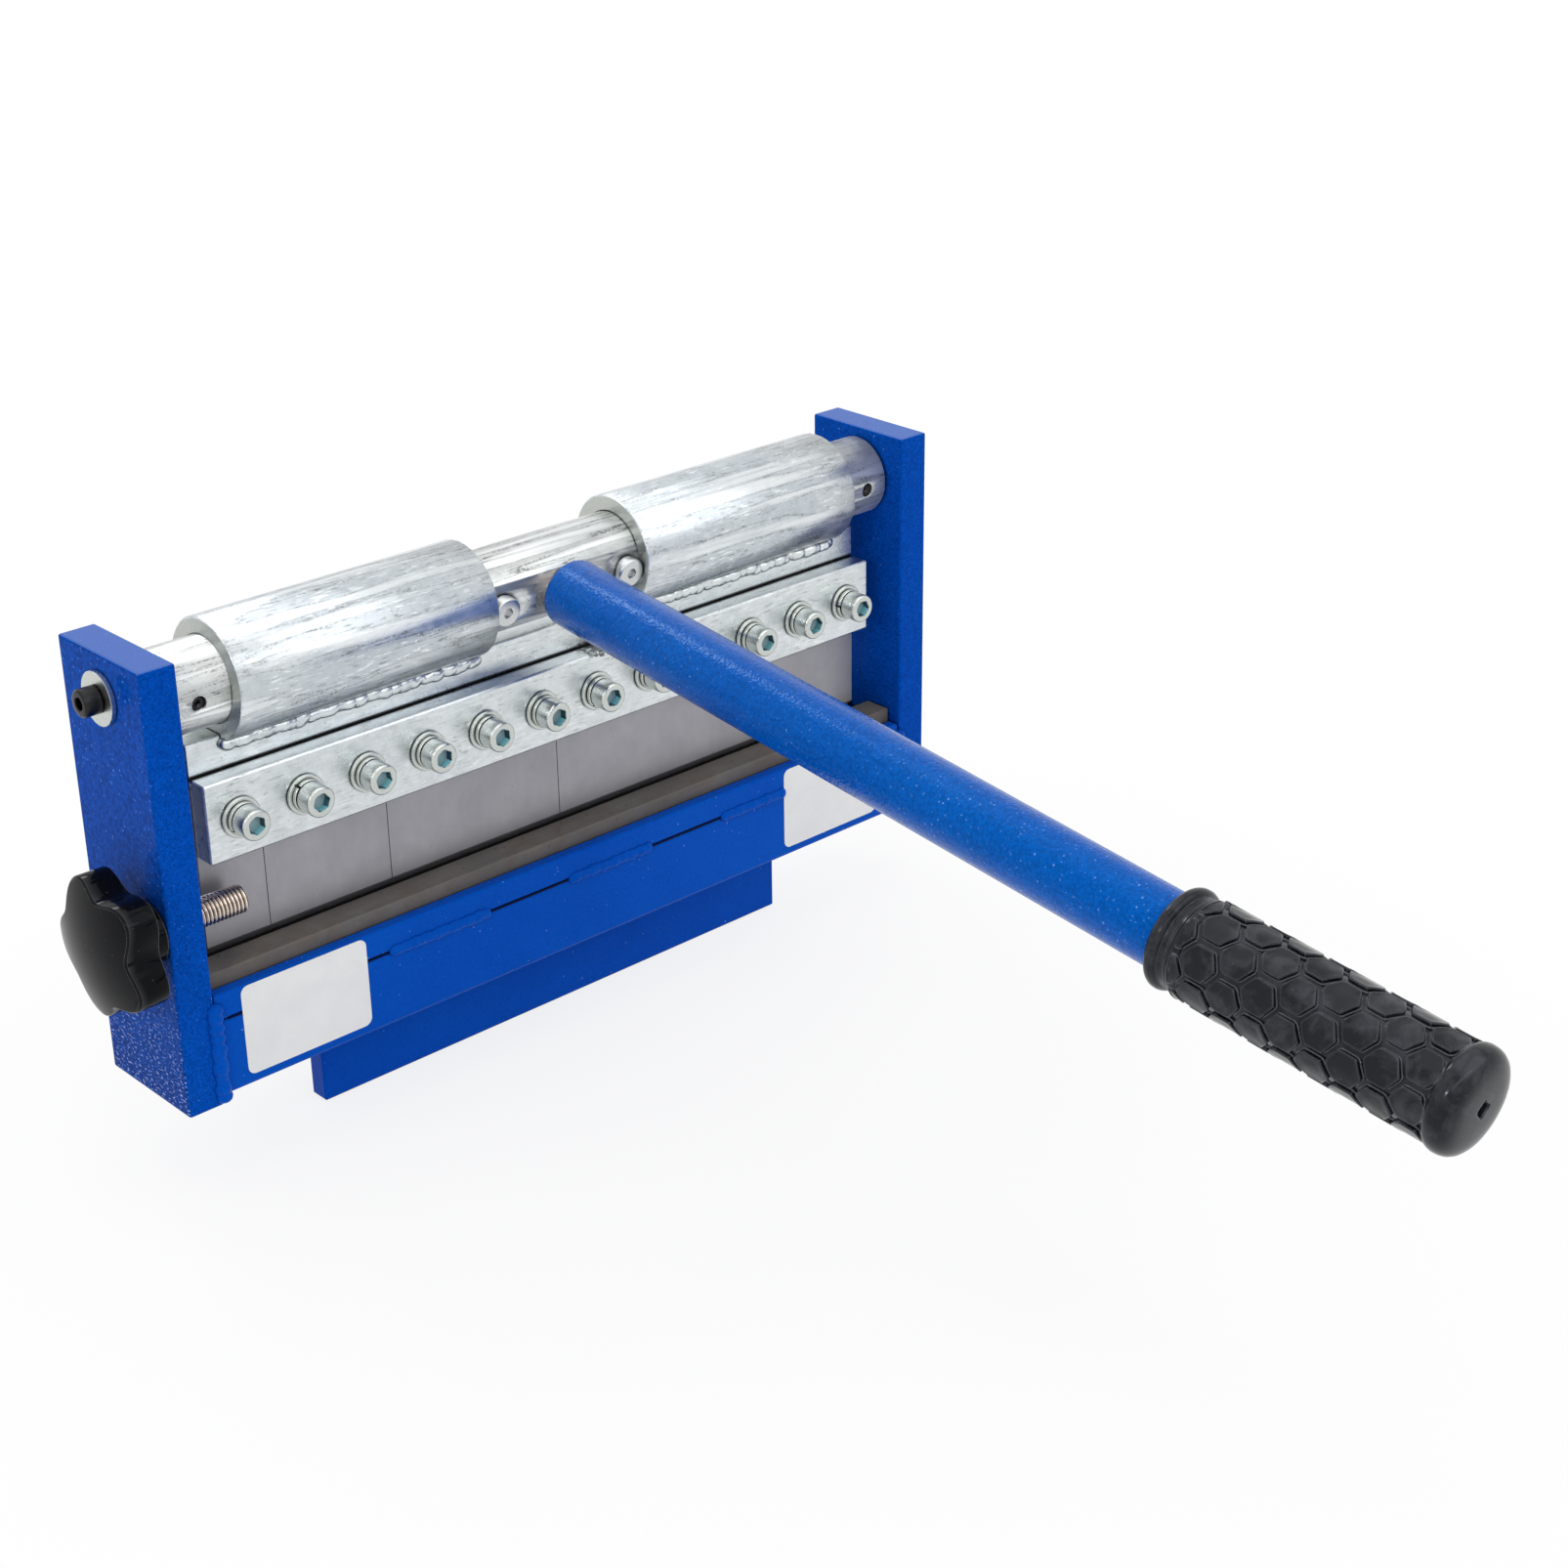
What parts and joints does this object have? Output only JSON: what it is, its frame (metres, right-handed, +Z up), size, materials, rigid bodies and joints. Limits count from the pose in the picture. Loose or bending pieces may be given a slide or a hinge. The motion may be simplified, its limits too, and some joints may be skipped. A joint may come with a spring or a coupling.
{
  "type": "press brake",
  "caption": "Vise-mounted press brake for bending sheet metal, with an eccentric shaft turned by a lever and a segmented punch over a V die.",
  "frame": {"origin": "centre of the web's front face, where the vise jaw grips", "axes": "+X along the shaft to the right as seen from the front, +Y to the back, +Z up; the lever points to -Y"},
  "size_m": [0.4529, 0.5052, 0.2285],
  "materials": {
    "blue_powder_coat": "glossy powder coat, fine orange peel",
    "zinc_plate": "bright zinc plating, mottled and lightly scratched",
    "tool_steel": "grey oiled tool steel, satin",
    "bright_steel": "turned bright steel",
    "blackened_steel": "black oxide",
    "bushing_bronze": "plain bearing bronze",
    "grip_rubber": "moulded black rubber, satin",
    "knob_plastic": "moulded black plastic, semi-gloss"
  },
  "bodies": {
    "frame": {"left_side_plate": "blue_powder_coat", "right_side_plate": "blue_powder_coat", "left_bushing": "bushing_bronze", "right_bushing": "bushing_bronze", "front_rail": "blue_powder_coat", "back_rail": "blue_powder_coat", "base_bar": "blue_powder_coat", "v_die": "tool_steel", "vise_web": "blue_powder_coat"},
    "lever": {"eccentric_shaft": "zinc_plate", "left_journal_pin": "bright_steel", "right_journal_pin": "bright_steel", "left_pivot_washer": "zinc_plate", "right_pivot_washer": "zinc_plate", "left_pivot_bolt": "blackened_steel", "right_pivot_bolt": "blackened_steel", "left_grub_screw": "blackened_steel", "right_grub_screw": "blackened_steel", "left_keeper_screw": "zinc_plate", "right_keeper_screw": "zinc_plate", "lever_stud": "bright_steel", "lever_tube": "blue_powder_coat", "lever_grip": "grip_rubber"},
    "ram": {"left_sleeve": "zinc_plate", "right_sleeve": "zinc_plate", "ram_bar": "zinc_plate", "clamp_bar": "zinc_plate", "punch_30": "tool_steel", "punch_60": "tool_steel", "punch_90": "tool_steel", "punch_180": "tool_steel", "clamp_screw_01": "zinc_plate", "clamp_screw_02": "zinc_plate", "clamp_screw_03": "zinc_plate", "clamp_screw_04": "zinc_plate", "clamp_screw_05": "zinc_plate", "clamp_screw_06": "zinc_plate", "clamp_screw_07": "zinc_plate", "clamp_screw_08": "zinc_plate", "clamp_screw_09": "zinc_plate", "clamp_screw_10": "zinc_plate", "clamp_screw_11": "zinc_plate", "clamp_screw_12": "zinc_plate", "washers_01": "zinc_plate", "washers_02": "zinc_plate", "washers_03": "zinc_plate", "washers_04": "zinc_plate", "washers_05": "zinc_plate", "washers_06": "zinc_plate", "washers_07": "zinc_plate", "washers_08": "zinc_plate", "washers_09": "zinc_plate", "washers_10": "zinc_plate", "washers_11": "zinc_plate", "washers_12": "zinc_plate"},
    "stop_screw": {"stop_stud": "bright_steel"},
    "knob": {"star_knob": "knob_plastic"}
  },
  "joints": [
    {"name": "lever_turn", "type": "hinge", "parent": "frame", "child": "lever", "pos_m": [0, 0.005, 0.18859], "axis": [-1, 0, 0], "range_deg": [-20, 115]},
    {"name": "ram_swing", "type": "hinge", "parent": "lever", "child": "ram", "pos_m": [0, 0.00269, 0.18415], "axis": [-1, 0, 0], "range_deg": [-115, 20]},
    {"name": "stop_travel", "type": "slide", "parent": "frame", "child": "stop_screw", "axis": [-1, 0, 0], "range_m": [0, 0.0245]},
    {"name": "knob_turn", "type": "hinge", "parent": "stop_screw", "child": "knob", "pos_m": [-0.2078, -0.0125, 0.09614], "axis": [-1, 0, 0], "range_deg": [0, 5040]}
  ],
  "couplings": [
    {"joint": "ram_swing", "follows": "lever_turn", "ratio": -1},
    {"joint": "stop_travel", "follows": "knob_turn", "m_per_rad": 0.00027852}
  ]
}
